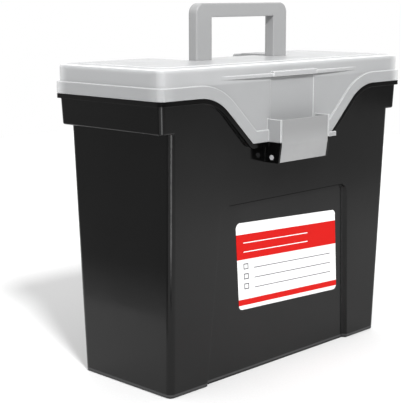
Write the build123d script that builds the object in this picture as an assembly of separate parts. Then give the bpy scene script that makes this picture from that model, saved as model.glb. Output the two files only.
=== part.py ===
from build123d import *
import os
from math import atan2, cos, degrees, radians, sin, tan

# A portable file box for letter-size hanging folders, in millimetres.
# The origin is the middle of the underside. +X is to the right, +Y is to the back and
# +Z is up. The latch is on the front, which is the -Y face.

# Tub: walls that lean outwards, a wider rim at both ends and a flange all round.
base_length = 310.0
base_depth = 120.0
ledge_height = 242.0
end_draft = 1.13
face_draft = 1.90
tub_wall = 2.4
floor_thickness = 3.0
tub_corner_radius = 5.9
base_edge_radius = 1.6
foot_width = 9.0
foot_height = 1.2
foot_pad_radius = 20.0
ledge_overhang = 11.1
rim_height = 24.8
rim_draft = 2.8
rim_corner_radius = 4.9
rim_edge_radius = 1.8
flange_thickness = 4.2
flange_projection = 2.85
flange_corner_radius = 5.9
rail_height = 4.0

# Opening in the front of the tub, which an apron of the lid covers.
apron_drop = 46.0
apron_foot_half_width = 57.6
apron_slope = 43.5
apron_shoulder_radius = 52.6
apron_foot_radius = 4.0

# Sunken panel for the label.
panel_height = 169.3
panel_top_width = 188.0
panel_bottom_width = 214.4
panel_depth = 4.5
panel_side_run = 3.0
panel_top_run = 0.8
panel_corner_radius = 11.0

# Two ears on the front wall, under the opening, that hold the latch pin.
ear_thickness = 5.0
ear_nose_radius = 5.0
ear_front_gap = 0.5

# Lid.
parting_gap = 0.3
lid_height = 27.2
lid_wall = 2.2
lid_flange_height = 11.0
lid_step = 2.0
lid_corner_radius = 6.5
lid_edge_radius = 3.0
crease_corner_radius = 1.0
panel_raise = 0.9
panel_edge_radius = 0.6
panel_border = 12.0
panel_radius = 10.0
skirt_depth = 3.8
skirt_thickness = 1.6
skirt_gap = 0.6
front_channel_width = 63.4
front_channel_depth = 0.6
finger_lip_width = 199.0
finger_lip_bow = 3.2
finger_lip_thickness = 3.0
finger_lip_rise = 3.4
thumb_tab_projection = 3.9
thumb_tab_extra_height = 1.6
cheek_thickness = 1.9
cheek_projection = 14.6
cheek_height = 21.2
foot_lug_end = 62.8
foot_lug_thickness = 2.2
foot_lug_height = 4.4
foot_lug_drop = 2.6

# Handle, which folds back into a well in the lid.
handle_axis_y = -0.6
handle_width = 131.0
handle_leg_width = 20.5
handle_thickness = 11.0
handle_bar_height = 13.3
handle_reach = 59.6
handle_corner_radius = 10.0
handle_edge_radius = 1.2
handle_pin_radius = 2.0
handle_pin_bite = 3.0
well_side_gap = 1.0
well_floor_gap = 0.7
well_top_gap = 0.5
well_wall = 2.0
well_end_gap = 2.2
well_rear_drop = 7.0
slot_front_gap = 0.8
land_back = 20.0

# Latch, a flap that swings down on a pin between the ears.
latch_width = 72.4
latch_pin_radius = 2.5
latch_pin_drop = 14.5
latch_pin_standoff = 3.65
latch_reach = 35.5
latch_tail = 4.4
latch_wall = 2.2
latch_front_offset = 10.9
latch_lean = 2.4
latch_bend_drop = 3.0
latch_side_gap = 0.3
latch_barrel_radius = 5.0
latch_barrel_gap = 0.3
latch_rib_count = 3
latch_rib_thickness = 2.2
latch_rib_pitch = 23.0
latch_rib_height = 22.0
latch_rib_depth = 5.6

# Rear hinges.
hinge_spacing = 210.0
hinge_standoff = 5.5
hinge_knuckle_radius = 4.4
hinge_pin_radius = 2.0
hinge_middle_width = 20.0
hinge_outer_width = 9.0
hinge_gap = 0.3

# Label, stuck on the floor of the sunken panel: a little askew and cut out of square.
label_width = 151.0
label_height = 86.6
label_thickness = 0.25
label_corner_radius = 5.0
label_shift = 10.1
label_centre_height = 103.2
label_turn = -2.8
label_end_lean = 5.8

# Fits.
running_gap = 0.06

# ---- places that follow from the sizes above ----
flange_bottom = ledge_height + rim_height
rim_top = flange_bottom + flange_thickness
apron_bottom = rim_top - apron_drop
overcut = 1.0


def half_length(z):
    return base_length / 2 + z * tan(radians(end_draft))


def half_depth(z):
    return base_depth / 2 + z * tan(radians(face_draft))


def rim_half_length(z):
    run = (z - ledge_height) * tan(radians(rim_draft))
    return half_length(ledge_height) + ledge_overhang + run


flange_half_length = rim_half_length(flange_bottom) + flange_projection
flange_half_depth = half_depth(flange_bottom) + flange_projection
lid_half_length = flange_half_length - lid_step
lid_half_depth = flange_half_depth - lid_step
lid_bottom = rim_top + parting_gap
lid_border_top = rim_top + lid_height
lid_panel_top = lid_border_top + panel_raise
lid_flange_top = lid_bottom + lid_flange_height
apron_edge = apron_bottom + parting_gap
finger_lip_bottom = lid_flange_top + finger_lip_rise

handle_axis_z = lid_panel_top - well_top_gap - handle_thickness / 2
well_floor_top = handle_axis_z - handle_thickness / 2 - well_floor_gap
well_half_width = handle_width / 2 + well_side_gap
well_back = handle_axis_y + handle_reach + well_end_gap
slot_inner_half = handle_width / 2 - handle_leg_width - well_side_gap
slot_front = handle_axis_y - handle_thickness / 2 - slot_front_gap

latch_axis_y = -flange_half_depth - latch_pin_standoff
latch_axis_z = apron_bottom - latch_pin_drop
ear_outer_half = latch_width / 2
ear_inner_half = ear_outer_half - ear_thickness
cheek_inner_half = ear_outer_half - cheek_thickness
cheek_front = -flange_half_depth - cheek_projection

hinge_axis_y = flange_half_depth + hinge_standoff
hinge_axis_z = rim_top + parting_gap / 2


def block(x0, x1, y0, y1, z0, z1):
    """A box between two corners."""
    size = Box(x1 - x0, y1 - y0, z1 - z0)
    return Pos((x0 + x1) / 2, (y0 + y1) / 2, (z0 + z1) / 2) * size


def both_sides(half):
    """A piece and its mirror image across the middle plane of the box."""
    return half + mirror(half, about=Plane.YZ)


def tapered_block(z0, x0, y0, z1, x1, y1, radius):
    """A block with rounded corners between two levels, from its half-sizes at each."""
    low = Pos(0, 0, z0) * RectangleRounded(2 * x0, 2 * y0, radius)
    high = Pos(0, 0, z1) * RectangleRounded(2 * x1, 2 * y1, radius)
    return loft([low.face(), high.face()], ruled=True)


def straight_block(z0, z1, half_x, half_y, radius):
    """A block with rounded corners and upright sides."""
    outline = Pos(0, 0, z0) * RectangleRounded(2 * half_x, 2 * half_y, radius)
    return extrude(outline, z1 - z0)


def rod_along_x(x0, x1, y, z, radius):
    """A cylinder along X."""
    turned = Rot(0, 90, 0) * Cylinder(radius, x1 - x0)
    return Pos((x0 + x1) / 2, y, z) * turned


def side_profile(points, x0, x1):
    """An outline of (y, z) points, extruded along X."""
    outline = Plane.YZ.offset(x0) * make_face(Polyline(*points, close=True))
    return extrude(outline, x1 - x0)


def parting_region(rise, foot_radius):
    """Everything above the line where lid and tub meet, seen from the front.

    The line is moved up by rise, square to itself.
    """
    shift = rise * tan(radians(apron_slope) / 2)
    foot = apron_foot_half_width - shift
    shoulder = foot + apron_drop / tan(radians(apron_slope))
    far = flange_half_length + flange_thickness + lid_flange_height
    low = apron_bottom + rise
    line = rim_top + rise
    high = rim_top + lid_height + apron_drop
    points = [(-far, line), (-shoulder, line), (-foot, low), (foot, low)]
    points += [(shoulder, line), (far, line), (far, high), (-far, high)]
    region = make_face(Polyline(*points, close=True))
    feet = [v for v in region.vertices() if abs(v.Y - low) < overcut / 2]
    region = fillet(feet, foot_radius)
    shoulders = [v for v in region.vertices() if abs(abs(v.X) - shoulder) < overcut / 2]
    return fillet(shoulders, apron_shoulder_radius + rise)


def front_slab(region, y0, y1):
    """A region of the front view, extruded from y0 in front to y1 behind."""
    return extrude(Plane.XZ.offset(-y1) * region, y1 - y0)


# ---- tub ----

front_plane = Plane(
    origin=(0, -base_depth / 2, 0),
    x_dir=(1, 0, 0),
    z_dir=(0, -cos(radians(face_draft)), -sin(radians(face_draft))),
)


def panel_outline(grow, grow_top, radius):
    """Outline of the label panel on the front wall, from below the base to its top."""
    lean = (panel_bottom_width - panel_top_width) / 2 / panel_height
    below = 2 * base_edge_radius + tub_wall
    top = panel_height + grow_top
    half_top = panel_top_width / 2 + grow
    half_low = half_top + lean * (top + below)
    points = [(-half_low, -below), (half_low, -below), (half_top, top), (-half_top, top)]
    outline = make_face(Polyline(*points, close=True))
    return fillet(outline.vertices().group_by(Axis.Y)[-1], radius)


def panel_recess():
    """The sunken panel, with sloping sides, and a little of the air in front of it."""
    side_per_mm = panel_side_run / panel_depth
    top_per_mm = panel_top_run / panel_depth
    mouth = panel_outline(overcut * side_per_mm, overcut * top_per_mm, panel_corner_radius)
    seat = panel_outline(-panel_side_run, -panel_top_run, panel_corner_radius - panel_side_run)
    front = (front_plane.offset(overcut) * mouth).face()
    back = (front_plane.offset(-panel_depth) * seat).face()
    return loft([front, back], ruled=True)


def panel_backing():
    """The stretch of wall that steps inwards behind the sunken panel."""
    outline = panel_outline(tub_wall, tub_wall, panel_corner_radius + tub_wall)
    thick = panel_depth + tub_wall / 2
    slab = extrude(front_plane.offset(-panel_depth - tub_wall) * outline, thick)
    return slab & block(
        -base_length, base_length, -base_depth, 0, floor_thickness / 2, rim_top
    )


def body_cavity():
    """Inside of the tub up to its mouth."""
    low = floor_thickness
    high = rim_top + overcut
    return tapered_block(
        low,
        half_length(low) - tub_wall,
        half_depth(low) - tub_wall,
        high,
        half_length(high) - tub_wall,
        half_depth(high) - tub_wall,
        tub_corner_radius - tub_wall,
    )


def inside_space():
    """Inside of the tub, less the wall that steps in behind the panel."""
    return body_cavity() - panel_backing()


def tub_body():
    """Tapered outer walls with the rim and the flange, hollowed out."""
    rail_top = ledge_height + tub_wall + rail_height
    walls = tapered_block(
        0,
        half_length(0),
        half_depth(0),
        rail_top,
        half_length(rail_top),
        half_depth(rail_top),
        tub_corner_radius,
    )
    walls = fillet(walls.edges().group_by(Axis.Z)[0], base_edge_radius)
    rim = tapered_block(
        ledge_height,
        rim_half_length(ledge_height),
        half_depth(ledge_height),
        rim_top,
        rim_half_length(rim_top),
        half_depth(rim_top),
        rim_corner_radius,
    )
    rim = fillet(rim.edges().group_by(Axis.Z)[0], rim_edge_radius)
    flange = straight_block(
        flange_bottom, rim_top, flange_half_length, flange_half_depth, flange_corner_radius
    )
    ledge_top = ledge_height + tub_wall
    mouth = rim_top + overcut
    rim_cavity = tapered_block(
        ledge_top,
        rim_half_length(ledge_top) - tub_wall,
        half_depth(ledge_top) - tub_wall,
        mouth,
        rim_half_length(mouth) - tub_wall,
        half_depth(mouth) - tub_wall,
        rim_corner_radius - tub_wall,
    )
    rails = walls & block(
        -base_length, base_length, -base_depth, base_depth, ledge_height, rail_top
    )
    return (walls + rim + flange - rim_cavity) + rails


def foot_hollow():
    """Shallow hollow underneath, which leaves a foot all round and a pad in the middle."""
    hollow = straight_block(
        -overcut,
        foot_height,
        half_length(0) - foot_width,
        half_depth(0) - foot_width,
        tub_corner_radius,
    )
    return hollow - Cylinder(foot_pad_radius, 2 * (foot_height + overcut))


def front_lip():
    """The flange where it follows the opening in the front."""
    band = parting_region(-flange_thickness, apron_foot_radius + flange_thickness)
    band -= parting_region(0, apron_foot_radius)
    inner = -half_depth(apron_bottom) + tub_wall
    shoulder = apron_foot_half_width + apron_drop / tan(radians(apron_slope))
    reach = shoulder + apron_shoulder_radius * tan(radians(apron_slope) / 2)
    low = apron_bottom - 2 * flange_thickness
    lip = front_slab(band, -flange_half_depth, inner)
    return lip & block(-reach, reach, -flange_half_depth, inner, low, rim_top)


def front_opening():
    """What is cut from the front wall above the lip."""
    inner = -half_depth(apron_bottom) + tub_wall + overcut
    return front_slab(parting_region(0, apron_foot_radius), -flange_half_depth - overcut, inner)


def latch_ear():
    """The right-hand ear of the latch pin, with a wing that covers the flap's side."""
    root = -half_depth(latch_axis_z) + tub_wall / 2
    low = latch_axis_z - ear_nose_radius
    front = latch_axis_y - latch_front_offset + latch_wall + ear_front_gap
    nose = latch_axis_y - ear_nose_radius
    outline = [(root, low), (latch_axis_y, low), (nose, latch_axis_z)]
    outline += [(front, apron_bottom), (root, apron_bottom)]
    arm = side_profile(outline, ear_inner_half, ear_outer_half)
    tail, bend = latch_face_points(0)[:2]
    outline = [(latch_axis_y, low), (tail[0], low), bend, (bend[0], apron_bottom)]
    outline.append((latch_axis_y, apron_bottom))
    arm += side_profile(outline, cheek_inner_half, ear_outer_half)
    return arm + rod_along_x(
        ear_inner_half, ear_outer_half, latch_axis_y, latch_axis_z, ear_nose_radius
    )


def hinge_stations():
    """Middle X of each rear hinge."""
    return [-hinge_spacing / 2, hinge_spacing / 2]


def hinge_knuckle(x0, x1, z0, z1, bore):
    """A knuckle with its arm from the flange between z0 and z1, and a bore."""
    root = flange_half_depth - flange_projection / 2
    arm = block(x0, x1, root, hinge_axis_y, z0, z1)
    eye = rod_along_x(x0, x1, hinge_axis_y, hinge_axis_z, hinge_knuckle_radius)
    hole = rod_along_x(
        x0 - overcut, x1 + overcut, hinge_axis_y, hinge_axis_z, bore
    )
    return arm + eye - hole


def tub_knuckles():
    """The outer knuckles of both hinges, on the tub."""
    inner = hinge_middle_width / 2 + hinge_gap
    outer = inner + hinge_outer_width
    low = hinge_axis_z - hinge_knuckle_radius
    knuckles = Part()
    for middle in hinge_stations():
        for x0 in (middle - outer, middle + inner):
            x1 = x0 + hinge_outer_width
            knuckles += hinge_knuckle(x0, x1, low, rim_top, hinge_pin_radius)
    return knuckles


def tub():
    """One moulding: body, label panel, latch ears and hinge knuckles."""
    shell = tub_body() + panel_backing() - inside_space()
    shell = shell - front_opening() + front_lip()
    shell = shell + both_sides(latch_ear()) + tub_knuckles()
    pin_hole = rod_along_x(
        -ear_outer_half - overcut,
        ear_outer_half + overcut,
        latch_axis_y,
        latch_axis_z,
        latch_pin_radius,
    )
    return shell - panel_recess() - foot_hollow() - pin_hole


# ---- lid ----


def parting_band(rise_low, rise_high, high_radius):
    """Strip of the lid's edge between two distances from the parting line."""
    low_radius = apron_foot_radius - parting_gap
    band = parting_region(rise_low, low_radius)
    return band - parting_region(rise_high, high_radius)


def lid_keep():
    """The space that the lid may fill: above the parting line, which dips in front."""
    far = flange_half_length + overcut
    top = lid_panel_top + overcut
    front = parting_region(parting_gap, apron_foot_radius - parting_gap)
    return front_slab(front, -flange_half_depth - overcut, 0) + block(
        -far, far, 0, far, lid_bottom, top
    )


def lid_shell():
    """Roof, walls, apron and the thicker flange along the lower edge."""
    low = apron_edge - overcut
    outer = straight_block(
        low, lid_border_top, lid_half_length, lid_half_depth, lid_corner_radius
    )
    outer = fillet(outer.edges().group_by(Axis.Z)[-1], lid_edge_radius)
    panel = straight_block(
        lid_border_top - lid_wall,
        lid_panel_top,
        lid_half_length - panel_border,
        lid_half_depth - panel_border,
        panel_radius,
    )
    panel = fillet(panel.edges().group_by(Axis.Z)[-1], panel_edge_radius)
    flange = straight_block(
        low, lid_flange_top, flange_half_length, flange_half_depth, flange_corner_radius
    )
    crease = lid_flange_height + parting_gap
    strip = parting_band(parting_gap, crease, crease_corner_radius)
    far = flange_half_length + overcut
    edge = front_slab(strip, -flange_half_depth - overcut, 0)
    edge += block(-far, far, 0, far, lid_bottom, lid_flange_top)
    hollow = straight_block(
        low - overcut,
        lid_border_top - lid_wall,
        lid_half_length - lid_wall,
        lid_half_depth - lid_wall,
        lid_corner_radius - lid_wall,
    )
    return ((outer + panel) & lid_keep()) + (flange & edge) - hollow


def lid_skirt():
    """Locating skirt inside the rim, at both ends and along the back."""
    half_x = rim_half_length(flange_bottom) - tub_wall - skirt_gap
    half_y = half_depth(flange_bottom) - tub_wall - skirt_gap
    radius = rim_corner_radius - tub_wall
    low = rim_top - skirt_depth
    web_top = lid_bottom + skirt_thickness
    ring = straight_block(low, web_top, half_x, half_y, radius)
    web = straight_block(
        lid_bottom,
        web_top,
        lid_half_length - lid_wall / 2,
        lid_half_depth - lid_wall / 2,
        lid_corner_radius - lid_wall,
    )
    hole = straight_block(
        low - overcut,
        web_top + overcut,
        half_x - skirt_thickness,
        half_y - skirt_thickness,
        radius - skirt_thickness,
    )
    front = -flange_half_depth + apron_shoulder_radius / 2
    keep = block(-half_x - lid_wall * 2, half_x + lid_wall * 2, front, lid_half_depth, low, web_top)
    return (ring + web - hole) & keep


def handle_well():
    """Air of the well: two slots for the legs and the tray behind them."""
    high = lid_panel_top + overcut
    tray = block(
        -well_half_width, well_half_width, land_back, well_back, well_floor_top, high
    )
    slot = block(
        slot_inner_half, well_half_width, slot_front, land_back + overcut, well_floor_top, high
    )
    rear = block(
        -well_half_width,
        well_half_width,
        well_back - overcut,
        lid_half_depth + overcut,
        lid_panel_top - well_rear_drop,
        high,
    )
    return tray + both_sides(slot) + rear


def well_walls():
    """Walls of the well inside the lid, with thicker pads round the pins."""
    low = well_floor_top - well_wall
    high = lid_border_top - lid_wall / 2
    tray = block(
        -well_half_width - well_wall,
        well_half_width + well_wall,
        land_back - well_wall,
        lid_half_depth - lid_wall / 2,
        low,
        high,
    )
    slot = block(
        slot_inner_half - well_wall,
        well_half_width + well_wall,
        slot_front - well_wall,
        land_back,
        low,
        high,
    )
    pad_half = handle_thickness / 2
    pads = block(
        slot_inner_half - handle_pin_bite,
        well_half_width + handle_pin_bite,
        handle_axis_y - pad_half,
        handle_axis_y + pad_half,
        low,
        high,
    )
    return tray + both_sides(slot + pads)


def handle_pin(gap):
    """The right-hand pin of the handle, or with gap the running hole for it."""
    return rod_along_x(
        slot_inner_half - handle_pin_bite,
        well_half_width + handle_pin_bite,
        handle_axis_y,
        handle_axis_z,
        handle_pin_radius + gap,
    )


def finger_lip():
    """Bowed lip for the fingers across the front, with a thumb tab in the middle."""
    half = finger_lip_width / 2
    wall = -lid_half_depth + lid_wall / 2
    face = -lid_half_depth
    bow = ThreePointArc((-half, face), (0, face - finger_lip_bow), (half, face))
    back = Polyline((half, face), (half, wall), (-half, wall), (-half, face))
    plan = Pos(0, 0, finger_lip_bottom) * make_face(bow + back)
    tab = block(
        -front_channel_width / 2,
        front_channel_width / 2,
        face - thumb_tab_projection,
        wall,
        finger_lip_bottom,
        finger_lip_bottom + finger_lip_thickness + thumb_tab_extra_height,
    )
    return extrude(plan, finger_lip_thickness) + tab


def front_channel():
    """Shallow channel down the apron, between the thumb tab and the edge strip."""
    half = front_channel_width / 2
    return block(
        -half,
        half,
        -lid_half_depth - overcut,
        -lid_half_depth + front_channel_depth,
        apron_edge + lid_flange_height,
        finger_lip_bottom,
    )


def cheek():
    """The right-hand cheek that stands beside the latch."""
    return block(
        cheek_inner_half,
        ear_outer_half,
        cheek_front,
        -lid_half_depth + lid_wall / 2,
        apron_edge,
        apron_edge + cheek_height,
    )


def foot_lug():
    """The lug at the foot of the apron, on the right of the latch."""
    start = ear_outer_half + parting_gap
    low = apron_bottom - foot_lug_drop
    back = -flange_half_depth - parting_gap
    front = back - foot_lug_thickness
    high = low + foot_lug_height
    lug = block(start, foot_lug_end, front, back, low, high)
    end = apron_foot_half_width - lid_wall
    inner = -flange_half_depth + lid_wall / 2
    return lug + block(start, end, front, inner, apron_edge + parting_gap, high)


def lid_knuckles():
    """The middle knuckle of both hinges, on the lid."""
    half = hinge_middle_width / 2
    high = hinge_axis_z + hinge_knuckle_radius
    bore = hinge_pin_radius + running_gap
    knuckles = Part()
    for middle in hinge_stations():
        knuckles += hinge_knuckle(middle - half, middle + half, lid_bottom, high, bore)
    return knuckles


def lid():
    """One moulding: roof with the handle well, walls, apron and hinge knuckles."""
    shell = lid_shell() + lid_skirt() + well_walls() - handle_well()
    shell = shell - front_channel() + finger_lip()
    return shell + both_sides(cheek()) + foot_lug() + lid_knuckles() - both_sides(handle_pin(0))


# ---- handle ----


def handle():
    """A square bail: two legs, rounded at the pins, and a straight grip bar."""
    half = handle_width / 2
    front = handle_axis_y - handle_thickness / 2
    back = handle_axis_y + handle_thickness / 2
    top = handle_axis_z + handle_reach
    bail = block(-half, half, front, back, handle_axis_z, top)
    upper = bail.edges().filter_by(Axis.Y).group_by(Axis.Z)[-1]
    bail = fillet(upper, handle_corner_radius)
    gap_half = half - handle_leg_width
    bail -= block(
        -gap_half,
        gap_half,
        front - overcut,
        back + overcut,
        handle_axis_z - handle_thickness,
        top - handle_bar_height,
    )
    long_edges = bail.edges().filter_by(Axis.X).group_by(Axis.Z)[-1]
    bail = fillet(long_edges, handle_edge_radius)
    end = rod_along_x(gap_half, half, handle_axis_y, handle_axis_z, handle_thickness / 2)
    return bail + both_sides(end) - both_sides(handle_pin(running_gap))


# ---- latch ----


def latch_face_points(depth):
    """Points (y, z) of the flap's face, moved inwards by depth, from tail to top."""
    face = latch_axis_y - latch_front_offset + depth
    tail = latch_axis_z - latch_tail
    return [
        (face + latch_lean, tail),
        (face, apron_bottom - latch_bend_drop),
        (face, latch_axis_z + latch_reach),
    ]


def latch_flap():
    """The flap, which stands between the wings of the ears and the cheeks of the lid."""
    outline = latch_face_points(0) + latch_face_points(latch_wall)[::-1]
    half = cheek_inner_half - latch_side_gap
    return side_profile(outline, -half, half)


def latch_ribs():
    """Upright ribs between the barrel and the flap."""
    inner = latch_face_points(latch_wall / 2)
    back = latch_axis_y - latch_front_offset + latch_wall + latch_rib_depth
    tip = (inner[1][0], latch_axis_z + latch_rib_height)
    outline = [inner[0], inner[1], tip, (back, latch_axis_z + latch_tail)]
    outline.append((back, latch_axis_z - latch_tail))
    ribs = Part()
    for index in range(latch_rib_count):
        middle = (index - (latch_rib_count - 1) / 2) * latch_rib_pitch
        x0 = middle - latch_rib_thickness / 2
        ribs += side_profile(outline, x0, x0 + latch_rib_thickness)
    return ribs


def latch():
    """The flap with its ribs and the barrel that turns on the pin."""
    half = ear_inner_half - latch_barrel_gap
    barrel = rod_along_x(-half, half, latch_axis_y, latch_axis_z, latch_barrel_radius)
    inner = latch_face_points(latch_wall / 2)
    web = block(
        -half,
        half,
        inner[0][0],
        latch_axis_y,
        latch_axis_z - latch_wall / 2,
        latch_axis_z + latch_wall / 2,
    )
    hole = rod_along_x(
        -latch_width, latch_width, latch_axis_y, latch_axis_z, latch_pin_radius + running_gap
    )
    return latch_flap() + latch_ribs() + barrel + web - hole


# ---- pins and label ----


def latch_pin():
    """Rod through both ears and the barrel of the latch."""
    return rod_along_x(
        -ear_outer_half, ear_outer_half, latch_axis_y, latch_axis_z, latch_pin_radius
    )


def hinge_pins():
    """One pin for each rear hinge."""
    half = hinge_middle_width / 2 + hinge_gap + hinge_outer_width
    pins = Part()
    for middle in hinge_stations():
        pins += rod_along_x(
            middle - half, middle + half, hinge_axis_y, hinge_axis_z, hinge_pin_radius
        )
    return pins


def label():
    """Paper label on the floor of the sunken panel."""
    turn = radians(label_turn)
    lean = radians(label_end_lean)
    middle = Vector(label_shift, label_centre_height / cos(radians(face_draft)))
    across = Vector(cos(turn), sin(turn)) * label_width / 2
    up = Vector(-sin(lean), cos(lean)) * label_height / 2
    low_left = middle - across - up
    low_right = middle + across - up
    top_right = middle + across + up
    top_left = middle - across + up
    sheet = make_face(Polyline(low_left, low_right, top_right, top_left, close=True))
    sheet = fillet(sheet.vertices(), label_corner_radius)
    return extrude(front_plane.offset(-panel_depth) * sheet, label_thickness)


parts = {
    "tub": tub(),
    "lid": lid(),
    "handle": handle(),
    "handle_pins": both_sides(handle_pin(0)),
    "latch": latch(),
    "latch_pin": latch_pin(),
    "hinge_pins": hinge_pins(),
    "label": label(),
}

os.makedirs("parts", exist_ok=True)
for name, part in parts.items():
    export_step(part, f"parts/{name}.step")
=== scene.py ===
import math

import bpy
from mathutils import Matrix, Vector

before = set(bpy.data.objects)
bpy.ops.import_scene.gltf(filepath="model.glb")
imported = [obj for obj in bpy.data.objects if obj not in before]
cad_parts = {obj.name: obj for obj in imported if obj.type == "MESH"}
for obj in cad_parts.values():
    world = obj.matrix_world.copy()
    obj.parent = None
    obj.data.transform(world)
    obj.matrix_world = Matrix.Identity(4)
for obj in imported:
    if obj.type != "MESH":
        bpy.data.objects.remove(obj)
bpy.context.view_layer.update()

MM = 0.001

# Lengths are in metres, and shares and parts of a colour run from 0 to 1.
NONE_TO_FULL = (0.0, 1.0)
FULL_TO_NONE = (1.0, 0.0)
WHITE = (1.0, 1.0, 1.0, 1.0)

# A noise is the size of its blobs, its detail, its roughness and, where it has one, its
# stretch. A mould texture is the size of its grains, their detail and their depth.

# How far a noise runs before it counts as its lowest and its highest.
EVEN = (0.30, 0.70)
UNEVEN = (0.35, 0.70)
PATCHY = (0.40, 0.70)

# Cosines of the turn at which a rounded edge begins and is fully an edge.
EDGE_TURN = (0.97, 0.85)
EDGE_SAMPLES = 6


# ---- parts of a finish ----


def start_finish(name):
    """A material with one Principled shader."""
    finish = bpy.data.materials.new(name)
    finish.use_nodes = True
    tree = finish.node_tree
    return finish, tree, tree.nodes["Principled BSDF"]


def parts_of(tree, vector):
    """X, Y and Z of a vector."""
    split = tree.nodes.new("ShaderNodeSeparateXYZ")
    tree.links.new(vector, split.inputs["Vector"])
    return [split.outputs[axis] for axis in "XYZ"]


def place(tree):
    """X, Y and Z of a point of the piece, when the box is closed."""
    return parts_of(tree, tree.nodes.new("ShaderNodeTexCoord").outputs["Object"])


def facing(tree):
    """X, Y and Z of the way that the surface faces, when the box is closed."""
    return parts_of(tree, tree.nodes.new("ShaderNodeTexCoord").outputs["Normal"])


def combined(tree, first, second, operation):
    """Two values, worked into one."""
    node = tree.nodes.new("ShaderNodeMath")
    node.operation = operation
    for socket, value in zip(node.inputs, (first, second)):
        if isinstance(value, (int, float)):
            socket.default_value = value
        else:
            tree.links.new(value, socket)
    return node.outputs["Value"]


def plus(tree, first, second):
    """The sum of two values."""
    return combined(tree, first, second, "ADD")


def minus(tree, first, second):
    """The first value less the second."""
    return combined(tree, first, second, "SUBTRACT")


def larger(tree, first, second):
    """The larger of two values."""
    return combined(tree, first, second, "MAXIMUM")


def unsigned(tree, value):
    """A value without its sign."""
    return combined(tree, value, 0.0, "ABSOLUTE")


def times(tree, first, *others):
    """The product of the values."""
    product = first
    for other in others:
        product = combined(tree, product, other, "MULTIPLY")
    return product


def between(tree, value, limits, results=NONE_TO_FULL):
    """value, smoothly turned from its limits into the results, and kept there."""
    ramp = tree.nodes.new("ShaderNodeMapRange")
    ramp.interpolation_type = "SMOOTHSTEP"
    ramp.inputs["From Min"].default_value = limits[0]
    ramp.inputs["From Max"].default_value = limits[1]
    ramp.inputs["To Min"].default_value = results[0]
    ramp.inputs["To Max"].default_value = results[1]
    tree.links.new(value, ramp.inputs["Value"])
    return ramp.outputs["Result"]


def soft_band(tree, value, start, end):
    """1 where value is past the start and before the end, with soft edges."""
    return times(tree, between(tree, value, start), between(tree, value, end, FULL_TO_NONE))


def hard_band(tree, value, low, high):
    """1 where value is between low and high."""
    node = tree.nodes.new("ShaderNodeMath")
    node.operation = "COMPARE"
    node.inputs[1].default_value = (low + high) / 2
    node.inputs[2].default_value = (high - low) / 2
    tree.links.new(value, node.inputs[0])
    return node.outputs["Value"]


def two_tone(tree, share, first, second):
    """first where share is 0 and second where it is 1."""
    mix = tree.nodes.new("ShaderNodeMix")
    mix.data_type = "RGBA"
    tree.links.new(share, mix.inputs["Factor"])
    sockets = [socket for socket in mix.inputs if socket.type == "RGBA"]
    for socket, colour in zip(sockets, (first, second)):
        if isinstance(colour, tuple):
            socket.default_value = (*colour, 1.0)
        else:
            tree.links.new(colour, socket)
    return [socket for socket in mix.outputs if socket.type == "RGBA"][0]


def cloud(tree, size, detail, roughness=0.5, stretch=None):
    """Noise with blobs of about this size, fixed to the piece."""
    spot = tree.nodes.new("ShaderNodeTexCoord").outputs["Object"]
    if stretch:
        mapping = tree.nodes.new("ShaderNodeMapping")
        mapping.inputs["Scale"].default_value = stretch
        tree.links.new(spot, mapping.inputs["Vector"])
        spot = mapping.outputs["Vector"]
    noise = tree.nodes.new("ShaderNodeTexNoise")
    noise.inputs["Scale"].default_value = 1.0 / size
    noise.inputs["Detail"].default_value = detail
    noise.inputs["Roughness"].default_value = roughness
    tree.links.new(spot, noise.inputs["Vector"])
    return noise.outputs["Fac"]


def rounded_edges(tree, radius):
    """Normal of the piece with its sharp edges rounded off."""
    bevel = tree.nodes.new("ShaderNodeBevel")
    bevel.samples = EDGE_SAMPLES
    bevel.inputs["Radius"].default_value = radius
    return bevel.outputs["Normal"]


def near_edges(tree, rounded):
    """1 on the rounded edges and 0 on the faces."""
    true_normal = tree.nodes.new("ShaderNodeNewGeometry").outputs["Normal"]
    dot = tree.nodes.new("ShaderNodeVectorMath")
    dot.operation = "DOT_PRODUCT"
    tree.links.new(rounded, dot.inputs[0])
    tree.links.new(true_normal, dot.inputs[1])
    return between(tree, dot.outputs["Value"], EDGE_TURN)


def bumps(tree, shader, rounded, layers):
    """Bumps of (height, distance) laid over the rounded normal."""
    normal = rounded
    for height, distance in layers:
        bump = tree.nodes.new("ShaderNodeBump")
        bump.inputs["Distance"].default_value = distance
        tree.links.new(height, bump.inputs["Height"])
        tree.links.new(normal, bump.inputs["Normal"])
        normal = bump.outputs["Normal"]
    tree.links.new(normal, shader.inputs["Normal"])


def mould_texture(tree, shader, rounded, *layers):
    """Bumps of the mould, each of (size, detail, depth)."""
    clouds = [(cloud(tree, size, detail), depth) for size, detail, depth in layers]
    bumps(tree, shader, rounded, clouds)


# ---- black box ----

# Black plastic of the box.
TUB_EDGE = 0.5 * MM
BLACK_CLEAN = (0.0006, 0.0006, 0.0006)
BLACK_BLUSHED = (0.0012, 0.0012, 0.0012)
BLACK_RUBBED = (0.006, 0.006, 0.0062)
BLACK_FOOT_HIGHLIGHT = (0.034, 0.034, 0.035)
BLACK_SLOPE_PAINTED_LIGHT = (0.012, 0.012, 0.0123)
BLACK_PAINTED_SHEEN = (0.0040, 0.0040, 0.0041)
BLUSH_NOISE = (70 * MM, 2.0, 0.5)
RUB_NOISE = (6 * MM, 3.0, 0.5)
RUB_SHARE = (0.2, 1.0)
SMEAR_NOISE = (35 * MM, 4.0, 0.6, (1.0, 1.0, 0.35))
SMEAR_ROUGHNESS = (0.11, 0.16)
EDGE_DULLING = 0.08
BLACK_IOR = 1.355
TUB_GRAIN = (0.5 * MM, 2.0, 0.004 * MM)
TUB_WAVES = (60 * MM, 1.0, 0.25 * MM)
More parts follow.
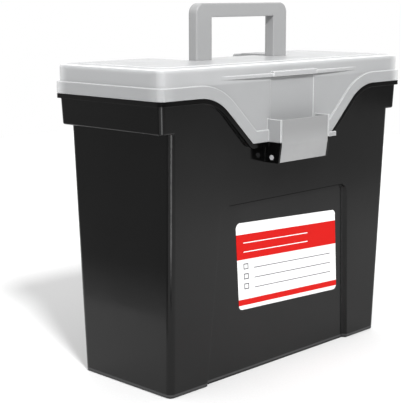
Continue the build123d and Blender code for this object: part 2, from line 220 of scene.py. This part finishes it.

# Heights of the painted highlight band round the foot.
FOOT_HIGHLIGHT_START = (1.2 * MM, 2.2 * MM)
FOOT_HIGHLIGHT_END = (3.2 * MM, 4.2 * MM)

# Label panel: where its front begins, its crease, where lower gloss paints a dark shade line,
# the feet of its side slopes, lifted with painted light, and a painted sheen over its upper
# part.
PANEL_FRONT = (-50.0 * MM, -60.0 * MM)
CREASE_HEIGHTS = (168.0 * MM, 169.9 * MM)
CREASE_SPAN = (-84.0 * MM, 87.0 * MM)
CREASE_GLOSS = (0.5, 0.10)
SLOPE_LEAN = 0.078
SLOPE_INSIDE = (101.8 * MM, 102.6 * MM)
SLOPE_OUTSIDE = (103.6 * MM, 105.0 * MM)
SLOPE_TOP = (160.0 * MM, 168.0 * MM)
SHEEN_HEIGHTS = (60.0 * MM, 168.4 * MM)
SHEEN_RISE = (80.0 * MM, 150.0 * MM)
SHEEN_SPREAD = (-95.0 * MM, -35.0 * MM)


def panel_marks(tree):
    """Masks of the label panel: its top edge, the feet of its side slopes, and its upper part
    for the painted sheen.
    """
    x, y, z = place(tree)
    front = between(tree, y, PANEL_FRONT)
    crease = times(tree, hard_band(tree, z, *CREASE_HEIGHTS), hard_band(tree, x, *CREASE_SPAN))
    across = plus(tree, unsigned(tree, x), times(tree, z, SLOPE_LEAN))
    feet = soft_band(tree, across, SLOPE_INSIDE, SLOPE_OUTSIDE)
    slopes = times(tree, feet, between(tree, z, SLOPE_TOP, FULL_TO_NONE))
    painted_sheen = times(
        tree,
        between(tree, across, SLOPE_INSIDE, FULL_TO_NONE),
        hard_band(tree, z, *SHEEN_HEIGHTS),
        between(tree, z, SHEEN_RISE),
        between(tree, x, SHEEN_SPREAD),
    )
    return [times(tree, mark, front) for mark in (crease, slopes, painted_sheen)]


def moulded_black():
    """Black glossy polypropylene: faint blush, fine mould texture, rubbed edges, and painted
    light and shade on the foot and the label panel.
    """
    finish, tree, shader = start_finish("tub_black")
    rounded = rounded_edges(tree, TUB_EDGE)
    edges = near_edges(tree, rounded)
    blush = between(tree, cloud(tree, *BLUSH_NOISE), UNEVEN)
    colour = two_tone(tree, blush, BLACK_CLEAN, BLACK_BLUSHED)
    patches = between(tree, cloud(tree, *RUB_NOISE), PATCHY, RUB_SHARE)
    colour = two_tone(tree, times(tree, edges, patches), colour, BLACK_RUBBED)
    height = place(tree)[2]
    # A painted highlight: a lighter band round the foot.
    foot_highlight = soft_band(tree, height, FOOT_HIGHLIGHT_START, FOOT_HIGHLIGHT_END)
    colour = two_tone(tree, foot_highlight, colour, BLACK_FOOT_HIGHLIGHT)
    crease, slopes, painted_sheen = panel_marks(tree)
    # Painted light on the feet of the side slopes, and a painted sheen on the panel's upper
    # part.
    colour = two_tone(tree, slopes, colour, BLACK_SLOPE_PAINTED_LIGHT)
    colour = two_tone(tree, painted_sheen, colour, BLACK_PAINTED_SHEEN)
    tree.links.new(colour, shader.inputs["Base Color"])
    smears = between(tree, cloud(tree, *SMEAR_NOISE), UNEVEN, SMEAR_ROUGHNESS)
    dulled = plus(tree, smears, times(tree, edges, EDGE_DULLING))
    tree.links.new(dulled, shader.inputs["Roughness"])
    shader.inputs["IOR"].default_value = BLACK_IOR
    # Lower gloss along the panel's crease paints a dark shade line.
    gloss = between(tree, crease, NONE_TO_FULL, CREASE_GLOSS)
    tree.links.new(gloss, shader.inputs["Specular IOR Level"])
    mould_texture(tree, shader, rounded, TUB_GRAIN, TUB_WAVES)
    return finish


# ---- frosted lid ----

# Frosted plastic of the lid.
LID_EDGE = 1.2 * MM
LID_CLEAR = (0.374, 0.378, 0.383)
LID_MILKY = (0.400, 0.404, 0.409)
LID_ENDS_SHADE = (0.345, 0.349, 0.354)
LID_SKIRT_SHADE = (0.29, 0.294, 0.298)
LID_RIGHT_SHADE = (0.30, 0.304, 0.308)
LID_PAINTED_GLOW = (0.84, 0.845, 0.85)
MILK_NOISE = (45 * MM, 3.0, 0.5)
LID_HAZE_NOISE = (25 * MM, 4.0, 0.5)
LID_ROUGHNESS = (0.30, 0.38)
LID_IOR = 1.49
LID_SCATTER = 0.35
LID_SCATTER_COLOURS = (1.0, 1.0, 1.0)
LID_SCATTER_DEPTH = 3 * MM
LID_GRAIN = (0.6 * MM, 2.0, 0.008 * MM)
LID_WAVES = (50 * MM, 1.0, 0.3 * MM)

# Where painted shade darkens the lid's tone: at its ends, low down, and to the right on what
# faces the front.
LID_ENDS = (168.0 * MM, 172.0 * MM)
LID_SKIRT = (281.0 * MM, 283.0 * MM)
LID_SKIRT_SHARE = (0.72, 0.0)
LID_FRONT_TURN = (-0.5, -0.9)
LID_RIGHT = (-60.0 * MM, 150.0 * MM)
LID_RIGHT_SHARE = (0.0, 0.5)

# Where the lid is painted with a glow, a painted highlight: along its edges, most of all on
# those that stand proud in front, on the rounds of its top edge and just below them. The turns
# here are how far the surface faces up, from 0 to 1.
LID_PROUD = (-72.2 * MM, -73.5 * MM)
LID_PROUD_SHARE = (0.5, 1.0)
LID_TOP = (288.0 * MM, 291.0 * MM)
LID_TOP_GLOW = 0.95
LEANING_START = (0.50, 0.95)
LEANING_END = (0.995, 0.93)
LID_BROW = (292.5 * MM, 297.0 * MM)
LID_BROW_GLOW = (0.0, 0.16)
UPRIGHT_TURN = (0.9, 0.6)

# Upright corners of the lid: where they get a painted glow, and how they lose their gloss.
# Their turn is the product of what faces sideways and what faces forward or back.
CORNER_ALONG = (156.0 * MM, 172.0 * MM)
CORNER_ACROSS = (53.0 * MM, 69.0 * MM)
CORNER_FROM_LEFT = (-240.0 * MM, -200.0 * MM)
CORNER_GLOW = (0.10, 0.46)
CORNER_TURN = (0.12, 0.45)
CORNER_GLOSS = (0.5, 0.12)


def lid_tone(tree, x, z):
    """Colour of the lid's faces: milky clouds, with painted shade on its ends, its skirt and
    the right of its front.
    """
    milk = between(tree, cloud(tree, *MILK_NOISE), EVEN)
    tone = two_tone(tree, milk, LID_CLEAR, LID_MILKY)
    ends = between(tree, unsigned(tree, x), LID_ENDS)
    tone = two_tone(tree, ends, tone, LID_ENDS_SHADE)
    skirt = between(tree, z, LID_SKIRT, LID_SKIRT_SHARE)
    tone = two_tone(tree, skirt, tone, LID_SKIRT_SHADE)
    front = between(tree, facing(tree)[1], LID_FRONT_TURN)
    right = between(tree, x, LID_RIGHT, LID_RIGHT_SHARE)
    return two_tone(tree, times(tree, front, right), tone, LID_RIGHT_SHADE)


def corner_glow(tree, x, y):
    """Painted glow at the lid's upright corners, fading along its sides and weak at the left
    front.
    """
    along = between(tree, unsigned(tree, x), CORNER_ALONG)
    across = between(tree, unsigned(tree, y), CORNER_ACROSS)
    level = between(tree, plus(tree, x, y), CORNER_FROM_LEFT, CORNER_GLOW)
    return times(tree, along, across, level)


def top_glow(tree, z, turn_up):
    """Painted glow on the rounds of the lid's top edge, and just below it."""
    leaning = times(
        tree,
        between(tree, turn_up, LEANING_START),
        between(tree, turn_up, LEANING_END),
        between(tree, z, LID_TOP),
        LID_TOP_GLOW,
    )
    brow = between(tree, z, LID_BROW, LID_BROW_GLOW)
    brow = times(tree, brow, between(tree, turn_up, UPRIGHT_TURN))
    return larger(tree, leaning, brow)


def frosted_clear():
    """Frosted polypropylene that lets a little light through, with a painted glow along its
    edges.
    """
    finish, tree, shader = start_finish("lid_frosted")
    rounded = rounded_edges(tree, LID_EDGE)
    edges = near_edges(tree, rounded)
    x, y, z = place(tree)
    turn_x, turn_y, turn_z = (unsigned(tree, part) for part in facing(tree))
    creases = times(tree, edges, between(tree, y, LID_PROUD, LID_PROUD_SHARE))
    glow = larger(tree, creases, top_glow(tree, z, turn_z))
    glow = larger(tree, glow, corner_glow(tree, x, y))
    colour = two_tone(tree, glow, lid_tone(tree, x, z), LID_PAINTED_GLOW)
    tree.links.new(colour, shader.inputs["Base Color"])
    haze = between(tree, cloud(tree, *LID_HAZE_NOISE), EVEN, LID_ROUGHNESS)
    tree.links.new(haze, shader.inputs["Roughness"])
    shader.inputs["IOR"].default_value = LID_IOR
    corner = between(tree, times(tree, turn_x, turn_y), CORNER_TURN)
    gloss = between(tree, corner, NONE_TO_FULL, CORNER_GLOSS)
    tree.links.new(gloss, shader.inputs["Specular IOR Level"])
    shader.inputs["Subsurface Weight"].default_value = LID_SCATTER
    shader.inputs["Subsurface Radius"].default_value = LID_SCATTER_COLOURS
    shader.inputs["Subsurface Scale"].default_value = LID_SCATTER_DEPTH
    mould_texture(tree, shader, rounded, LID_GRAIN, LID_WAVES)
    return finish


# ---- grey handle and latch, steel pins ----

# Grey satin plastic. Over GREY_HIGH, heights above the floor, it turns to its lowest grey
# times its shade, which is painted shade where that is below 1.
MOTTLE_NOISE = (18 * MM, 4.0, 0.6)
GREY_HAZE_NOISE = (12 * MM, 4.0, 0.5)
GREY_ROUGHNESS = (0.36, 0.46)
GREY_IOR = 1.46
GREY_HIGH = (218.0 * MM, 240.0 * MM)
EDGE_LIGHTER = 1.15
GREY_GRAIN = (0.45 * MM, 3.0, 0.010 * MM)

# Greys of the handle, the latch and the end of the latch's pin: lowest and highest.
HANDLE_GREYS = ((0.312, 0.314, 0.317), (0.328, 0.330, 0.333))
HANDLE_EDGE = 2.0 * MM
LATCH_GREYS = ((0.276, 0.278, 0.280), (0.292, 0.294, 0.296))
LATCH_EDGE = 0.8 * MM
# Painted shade on the latch's upper part, as a share of its lowest grey.
LATCH_SHADE = 0.86
LATCH_PIN_GREYS = ((0.42, 0.42, 0.43), (0.46, 0.46, 0.47))
LATCH_PIN_EDGE = 0.5 * MM

# Drawn steel of the hidden pins.
PIN_EDGE = 0.3 * MM
STEEL_DARK = (0.48, 0.48, 0.49)
STEEL_LIGHT = (0.62, 0.62, 0.63)
DRAW_NOISE = (1.2 * MM, 5.0, 0.7, (0.05, 1.0, 1.0))
STEEL_ROUGHNESS = (0.22, 0.38)
DRAW_DEPTH = 0.01 * MM


def moulded_grey(name, low, high, soft_edge, shade=1.0):
    """Grey satin plastic, mottled from low to high, and high up plainly low times shade, a
    painted shade where shade is below 1.
    """
    finish, tree, shader = start_finish(name)
    rounded = rounded_edges(tree, soft_edge)
    edges = near_edges(tree, rounded)
    mottle = between(tree, cloud(tree, *MOTTLE_NOISE), EVEN)
    body = two_tone(tree, mottle, low, high)
    upper = between(tree, place(tree)[2], GREY_HIGH)
    body = two_tone(tree, upper, body, tuple(shade * part for part in low))
    light = tuple(EDGE_LIGHTER * part for part in high)
    tree.links.new(two_tone(tree, edges, body, light), shader.inputs["Base Color"])
    haze = between(tree, cloud(tree, *GREY_HAZE_NOISE), EVEN, GREY_ROUGHNESS)
    tree.links.new(haze, shader.inputs["Roughness"])
    shader.inputs["IOR"].default_value = GREY_IOR
    mould_texture(tree, shader, rounded, GREY_GRAIN)
    return finish


def drawn_wire():
    """Bright drawn steel of the hidden pins."""
    finish, tree, shader = start_finish("pin_steel")
    streaks = cloud(tree, *DRAW_NOISE)
    tone = two_tone(tree, streaks, STEEL_DARK, STEEL_LIGHT)
    tree.links.new(tone, shader.inputs["Base Color"])
    shader.inputs["Metallic"].default_value = 1.0
    haze = between(tree, streaks, EVEN, STEEL_ROUGHNESS)
    tree.links.new(haze, shader.inputs["Roughness"])
    bumps(tree, shader, rounded_edges(tree, PIN_EDGE), [(streaks, DRAW_DEPTH)])
    return finish


# ---- paper label ----

# Paper label: its middle, the turn of its long edges and the lean of its ends.
LABEL_X = 10.1 * MM
LABEL_Z = 103.2 * MM
LABEL_TURN = math.radians(-2.8)
LABEL_LEAN = math.radians(5.8)
LABEL_EDGE = 0.1 * MM
RED_INK = (0.52, 0.010, 0.008)
GREY_INK = (0.12, 0.12, 0.13)
PAPER_DULL = (0.74, 0.74, 0.737)
PAPER_BRIGHT = (0.77, 0.77, 0.77)
PAPER_ROUGHNESS = (0.62, 0.52)
PAPER_GLOSS = 0.06
FIBRE_NOISE = (0.8 * MM, 5.0, 0.7)
FIBRE_DEPTH = 0.004 * MM

# Print of the label, in millimetres from its middle, along its long edges and its ends.
WHOLE_WIDTH = (-90, 90)
HEADING_BAND = (7, 32)
FOOT_BAND = (-39, -33)
BLANK_SPAN = (-66, 30)
BLANK_HEIGHTS = (14, 23)
RULE_SPAN = (-52, 66)
RULE_HEIGHTS = (-3, -13, -23)
LINE_THICKNESS = 0.9
TICK_SPAN = (-67, -60)
TICK_HEIGHT = 6
TICK_INNER_SPAN = (-65.8, -61.2)
TICK_INNER_HEIGHTS = (1.1, 4.9)


def label_directions(tree):
    """Distances from the label's middle, along its long edges and along its ends."""
    x, _, z = place(tree)
    far_x = minus(tree, x, LABEL_X)
    far_z = minus(tree, z, LABEL_Z)
    skew = math.cos(LABEL_LEAN - LABEL_TURN)
    across = plus(
        tree,
        times(tree, far_x, math.cos(LABEL_LEAN) / skew),
        times(tree, far_z, math.sin(LABEL_LEAN) / skew),
    )
    up = plus(
        tree,
        times(tree, far_x, -math.sin(LABEL_TURN) / skew),
        times(tree, far_z, math.cos(LABEL_TURN) / skew),
    )
    return across, up


def bar(tree, across, up, span, heights):
    """1 inside a bar of the print, given in millimetres from the label's middle."""
    wide = hard_band(tree, across, *(MM * end for end in span))
    return times(tree, wide, hard_band(tree, up, *(MM * end for end in heights)))


def red_print(tree, across, up):
    """Heading band with two blank lines left in it, and the band at the foot."""
    heading = bar(tree, across, up, WHOLE_WIDTH, HEADING_BAND)
    red = larger(tree, heading, bar(tree, across, up, WHOLE_WIDTH, FOOT_BAND))
    for height in BLANK_HEIGHTS:
        heights = (height, height + LINE_THICKNESS)
        red = minus(tree, red, bar(tree, across, up, BLANK_SPAN, heights))
    return red


def grey_print(tree, across, up):
    """Ruled writing lines, each with a tick box at its left."""
    ink = None
    for height in RULE_HEIGHTS:
        rule = bar(tree, across, up, RULE_SPAN, (height, height + LINE_THICKNESS))
        tick = bar(tree, across, up, TICK_SPAN, (height, height + TICK_HEIGHT))
        inner_heights = [height + end for end in TICK_INNER_HEIGHTS]
        inner = bar(tree, across, up, TICK_INNER_SPAN, inner_heights)
        line = larger(tree, rule, minus(tree, tick, inner))
        ink = larger(tree, ink, line) if ink else line
    return ink


def printed_paper():
    """Index label: a red heading band with two blank lines, then ruled writing lines."""
    finish, tree, shader = start_finish("label_paper")
    across, up = label_directions(tree)
    red = red_print(tree, across, up)
    fibres = between(tree, cloud(tree, *FIBRE_NOISE), EVEN)
    paper = two_tone(tree, fibres, PAPER_DULL, PAPER_BRIGHT)
    colour = two_tone(tree, red, paper, RED_INK)
    colour = two_tone(tree, grey_print(tree, across, up), colour, GREY_INK)
    tree.links.new(colour, shader.inputs["Base Color"])
    haze = between(tree, red, NONE_TO_FULL, PAPER_ROUGHNESS)
    tree.links.new(haze, shader.inputs["Roughness"])
    shader.inputs["Specular IOR Level"].default_value = PAPER_GLOSS
    bumps(tree, shader, rounded_edges(tree, LABEL_EDGE), [(fibres, FIBRE_DEPTH)])
    return finish


# ---- the CAD nodes get their finishes ----


def dress(node, finish):
    """Puts a finish on a CAD node."""
    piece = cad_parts[node]
    for slot in piece.material_slots:
        slot.material = finish


def dress_all():
    """Every CAD node with its finish. The two pairs of pins share theirs."""
    handle_grey = moulded_grey("handle_grey", *HANDLE_GREYS, HANDLE_EDGE)
    latch_grey = moulded_grey("latch_grey", *LATCH_GREYS, LATCH_EDGE, LATCH_SHADE)
    latch_pin_grey = moulded_grey("latch_pin_grey", *LATCH_PIN_GREYS, LATCH_PIN_EDGE)
    steel = drawn_wire()
    dress("tub", moulded_black())
    dress("lid", frosted_clear())
    dress("handle", handle_grey)
    dress("latch", latch_grey)
    dress("latch_pin", latch_pin_grey)
    dress("handle_pins", steel)
    dress("hinge_pins", steel)
    dress("label", printed_paper())


# ---- floor and cards ----

# Floor: a square sheet of pale paper. For the camera it is even. In reflections it
# carries painted shade far out in front and towards the right. A way is its shares of X and Y.
FLOOR_HALF = 1.6
FLOOR_DULL = (0.71, 0.71, 0.71)
FLOOR_BRIGHT = (0.73, 0.73, 0.73)
FLOOR_PAINTED_SHADE = (0.33, 0.33, 0.33)
FLOOR_NOISE = (2 * MM, 3.0, 0.5)
FLOOR_ROUGHNESS = 0.8
FLOOR_GLOSS = 0.1
FAR_WAY = (0.35, -0.94)
FAR_START = (0.42, 0.95)
FAR_START_SHARE = (0.0, 0.6)
FAR_END = (1.0, 1.6)
FAR_END_SHARE = (0.0, 0.3)
RIGHT_WAY = (1.0, 0.9)
RIGHT_LIMITS = (-0.10, 0.13)
RIGHT_SHARE = (0.0, 0.385)

# Grey card that darkens the end wall: its place, its size and its glow up its height.
SHADE_X = -0.316
SHADE_SPAN = (-0.05, 0.75)
SHADE_HEIGHTS = (0.0, 0.5)
SHADE_FADE = (0.0, 0.06)
SHADE_GLOW = (0.80, 0.42)

# Bright strip for the near corner: its left and right edge, and its glow.
STRIP_LEFT = (-0.285, -0.162)
STRIP_RIGHT = (-0.237, -0.205)
STRIP_HEIGHTS = (0.03, 0.245)
STRIP_FADE = (0.03, 0.10)
STRIP_GLOW = (0.0, 5.6)


def flat_sheet(name, corners, finish):
    """A flat four-cornered sheet of the studio."""
    mesh = bpy.data.meshes.new(name)
    mesh.from_pydata(corners, [], [(0, 1, 2, 3)])
    mesh.materials.append(finish)
    sheet = bpy.data.objects.new(name, mesh)
    bpy.context.scene.collection.objects.link(sheet)
    return sheet


def studio_paper():
    """Pale matt paper that the box stands on. In reflections it carries painted shade in
    front.
    """
    finish, tree, shader = start_finish("studio_paper")
    mottle = between(tree, cloud(tree, *FLOOR_NOISE), EVEN)
    colour = two_tone(tree, mottle, FLOOR_DULL, FLOOR_BRIGHT)
    x, y, _ = place(tree)
    ahead = plus(tree, times(tree, x, FAR_WAY[0]), times(tree, y, FAR_WAY[1]))
    far = plus(
        tree,
        between(tree, ahead, FAR_START, FAR_START_SHARE),
        between(tree, ahead, FAR_END, FAR_END_SHARE),
    )
    aside = plus(tree, times(tree, x, RIGHT_WAY[0]), times(tree, y, RIGHT_WAY[1]))
    right = between(tree, aside, RIGHT_LIMITS, RIGHT_SHARE)
    seen = tree.nodes.new("ShaderNodeLightPath").outputs["Is Camera Ray"]
    dim = times(tree, plus(tree, far, right), minus(tree, 1.0, seen))
    colour = two_tone(tree, dim, colour, FLOOR_PAINTED_SHADE)
    tree.links.new(colour, shader.inputs["Base Color"])
    shader.inputs["Roughness"].default_value = FLOOR_ROUGHNESS
    shader.inputs["Specular IOR Level"].default_value = FLOOR_GLOSS
    return finish


def lay_floor():
    """The paper on the table."""
    half = FLOOR_HALF
    corners = [(-half, -half, 0), (half, -half, 0), (half, half, 0), (-half, half, 0)]
    flat_sheet("floor", corners, studio_paper())


def glowing_card(name, left, right, heights, fade, levels):
    """An upright card seen only in reflections, its glow changing from its foot up."""
    finish = bpy.data.materials.new(name)
    finish.use_nodes = True
    tree = finish.node_tree
    tree.nodes.clear()
    glow = tree.nodes.new("ShaderNodeEmission")
    glow.inputs["Color"].default_value = WHITE
    tree.links.new(between(tree, place(tree)[2], fade, levels), glow.inputs["Strength"])
    out = tree.nodes.new("ShaderNodeOutputMaterial")
    tree.links.new(glow.outputs["Emission"], out.inputs["Surface"])
    foot, head = heights
    corners = [(*left, foot), (*right, foot), (*right, head), (*left, head)]
    card = flat_sheet(name, corners, finish)
    card.visible_camera = False
    card.visible_diffuse = False
    card.visible_shadow = False
    card.visible_transmission = False


def stand_cards():
    """A grey card that darkens the end wall and a bright strip for the near corner."""
    front, back = ((SHADE_X, y) for y in SHADE_SPAN)
    glowing_card("shade_card", front, back, SHADE_HEIGHTS, SHADE_FADE, SHADE_GLOW)
    glowing_card(
        "corner_strip", STRIP_LEFT, STRIP_RIGHT, STRIP_HEIGHTS, STRIP_FADE, STRIP_GLOW
    )


# ---- light and camera ----

# Glow of the room. Each part of it grows through its GLOW while the direction that the
# light comes from closes in on its WAY, through its LIMITS. The ceiling's way is up, and
# the window keeps above the floor.
BEHIND_WAY = (0.70, 0.71, 0.0)
BEHIND_LIMITS = (0.25, 0.7)
BEHIND_GLOW = (0.25, 1.10)
CEILING_LIMITS = (0.15, 0.7)
CEILING_GLOW = (0.0, 0.43)
WINDOW_WAY = (-0.90, 0.10, 0.42)
WINDOW_LIMITS = (0.45, 0.9)
WINDOW_GLOW = (0.0, 0.80)
WINDOW_FOOT = (0.0, 0.15)

# Key light: the way to it from the foot of the box, its distance, its power and its width.
KEY_WAY = Vector((-0.3275, -0.704, 0.630))
KEY_DISTANCE = 3
KEY_ENERGY = 3.75
KEY_ANGLE = math.radians(10)

# Camera: its place, how it is turned, and its lens in millimetres.
CAMERA_PLACE = (-0.820146, -0.751315, 0.360260)
CAMERA_YAW = math.radians(45.542)
CAMERA_PITCH = math.radians(10.4933)
CAMERA_ROLL = math.radians(-0.1232)
CAMERA_LENS = 99.629
CAMERA_SENSOR = 36.0
CAMERA_CLIP = (0.05, 20.0)


def toward(tree, direction, way):
    """How closely a direction follows a way."""
    dot = tree.nodes.new("ShaderNodeVectorMath")
    dot.operation = "DOT_PRODUCT"
    dot.inputs[1].default_value = way
    tree.links.new(direction, dot.inputs[0])
    return dot.outputs["Value"]


def room_glow(tree):
    """Glow of the room: bright behind, dim in front, a soft ceiling, a window at the left."""
    direction = tree.nodes.new("ShaderNodeTexCoord").outputs["Generated"]
    rise = parts_of(tree, direction)[2]
    walls = between(tree, toward(tree, direction, BEHIND_WAY), BEHIND_LIMITS, BEHIND_GLOW)
    ceiling = between(tree, rise, CEILING_LIMITS, CEILING_GLOW)
    pane = between(tree, toward(tree, direction, WINDOW_WAY), WINDOW_LIMITS, WINDOW_GLOW)
    window = times(tree, pane, between(tree, rise, WINDOW_FOOT))
    return plus(tree, plus(tree, walls, ceiling), window)


def light_room():
    """White all round for the camera, and the glow of the room for everything else."""
    world = bpy.data.worlds.new("studio")
    bpy.context.scene.world = world
    world.use_nodes = True
    tree = world.node_tree
    tree.nodes.clear()
    room = tree.nodes.new("ShaderNodeBackground")
    room.inputs["Color"].default_value = WHITE
    tree.links.new(room_glow(tree), room.inputs["Strength"])
    white = tree.nodes.new("ShaderNodeBackground")
    white.inputs["Color"].default_value = WHITE
    pick = tree.nodes.new("ShaderNodeMixShader")
    seen = tree.nodes.new("ShaderNodeLightPath").outputs["Is Camera Ray"]
    tree.links.new(seen, pick.inputs["Fac"])
    tree.links.new(room.outputs["Background"], pick.inputs[1])
    tree.links.new(white.outputs["Background"], pick.inputs[2])
    out = tree.nodes.new("ShaderNodeOutputWorld")
    tree.links.new(pick.outputs["Shader"], out.inputs["Surface"])


def hang_key():
    """A soft key light from the front, turned towards the foot of the box."""
    data = bpy.data.lights.new("key", "SUN")
    data.energy = KEY_ENERGY
    data.angle = KEY_ANGLE
    light = bpy.data.objects.new("key", data)
    bpy.context.scene.collection.objects.link(light)
    light.location = KEY_WAY * KEY_DISTANCE
    light.rotation_mode = "QUATERNION"
    light.rotation_quaternion = (-light.location).to_track_quat("-Z", "Y")


def set_camera():
    """The camera at its place, turned by its yaw, its pitch and its roll."""
    forward = Vector(
        (
            math.sin(CAMERA_YAW) * math.cos(CAMERA_PITCH),
            math.cos(CAMERA_YAW) * math.cos(CAMERA_PITCH),
            -math.sin(CAMERA_PITCH),
        )
    )
    level = Vector((math.cos(CAMERA_YAW), -math.sin(CAMERA_YAW), 0.0))
    upright = level.cross(forward)
    right = math.cos(CAMERA_ROLL) * level + math.sin(CAMERA_ROLL) * upright
    up = -math.sin(CAMERA_ROLL) * level + math.cos(CAMERA_ROLL) * upright
    data = bpy.data.cameras.new("camera")
    data.sensor_width = CAMERA_SENSOR
    data.lens = CAMERA_LENS
    data.clip_start, data.clip_end = CAMERA_CLIP
    camera = bpy.data.objects.new("camera", data)
    bpy.context.scene.collection.objects.link(camera)
    turn = Matrix((right, up, -forward)).transposed().to_4x4()
    camera.matrix_world = Matrix.Translation(CAMERA_PLACE) @ turn
    bpy.context.scene.camera = camera


dress_all()
lay_floor()
stand_cards()
light_room()
hang_key()
set_camera()
bpy.context.scene.view_settings.view_transform = "Standard"
